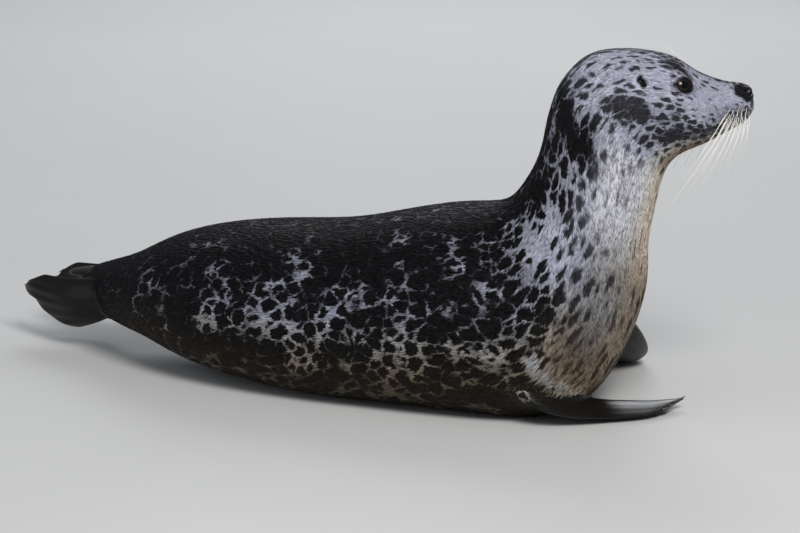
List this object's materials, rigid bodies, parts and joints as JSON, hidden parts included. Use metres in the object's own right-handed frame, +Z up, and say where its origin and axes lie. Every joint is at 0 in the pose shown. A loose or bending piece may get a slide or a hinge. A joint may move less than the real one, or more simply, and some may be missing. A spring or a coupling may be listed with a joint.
{
  "type": "harbor seal",
  "caption": "Life-size still seal lying on its belly, chest raised on its fore flippers, head up and turned aside, hind flippers trailing together behind it.",
  "frame": {"origin": "on the floor, under the middle of the whole animal's box", "axes": "+X along the trunk from tail to head, +Y to the animal's left, +Z up"},
  "size_m": [1.1058, 0.4586, 0.5021],
  "materials": {
    "coat": "short flat fur, near-black back, pale net of rings on the flanks, pale spotted chest",
    "flipper_skin": "very short dark fur over skin, slightly glossy",
    "nose_skin": "bare black skin, damp",
    "eye_gloss": "wet, very dark, sharp highlights",
    "claw_horn": "dark horn, smooth, paler at the tips"
  },
  "bodies": {
    "root": {"head": "coat", "neck": "coat", "shoulders": "coat", "trunk": "coat", "rump": "coat", "tail": "coat", "fore_flipper_right": "flipper_skin", "fore_flipper_left": "flipper_skin", "hind_flipper_right": "flipper_skin", "hind_flipper_left": "flipper_skin", "nose": "nose_skin", "eye_right": "eye_gloss", "eye_left": "eye_gloss", "claw_fore_flipper_right_1": "claw_horn", "claw_fore_flipper_right_2": "claw_horn", "claw_fore_flipper_right_3": "claw_horn", "claw_fore_flipper_right_4": "claw_horn", "claw_fore_flipper_right_5": "claw_horn", "claw_fore_flipper_left_1": "claw_horn", "claw_fore_flipper_left_2": "claw_horn", "claw_fore_flipper_left_3": "claw_horn", "claw_fore_flipper_left_4": "claw_horn", "claw_fore_flipper_left_5": "claw_horn", "claw_hind_flipper_right_1": "claw_horn", "claw_hind_flipper_right_2": "claw_horn", "claw_hind_flipper_right_3": "claw_horn", "claw_hind_flipper_right_4": "claw_horn", "claw_hind_flipper_right_5": "claw_horn", "claw_hind_flipper_left_1": "claw_horn", "claw_hind_flipper_left_2": "claw_horn", "claw_hind_flipper_left_3": "claw_horn", "claw_hind_flipper_left_4": "claw_horn", "claw_hind_flipper_left_5": "claw_horn"}
  },
  "joints": []
}
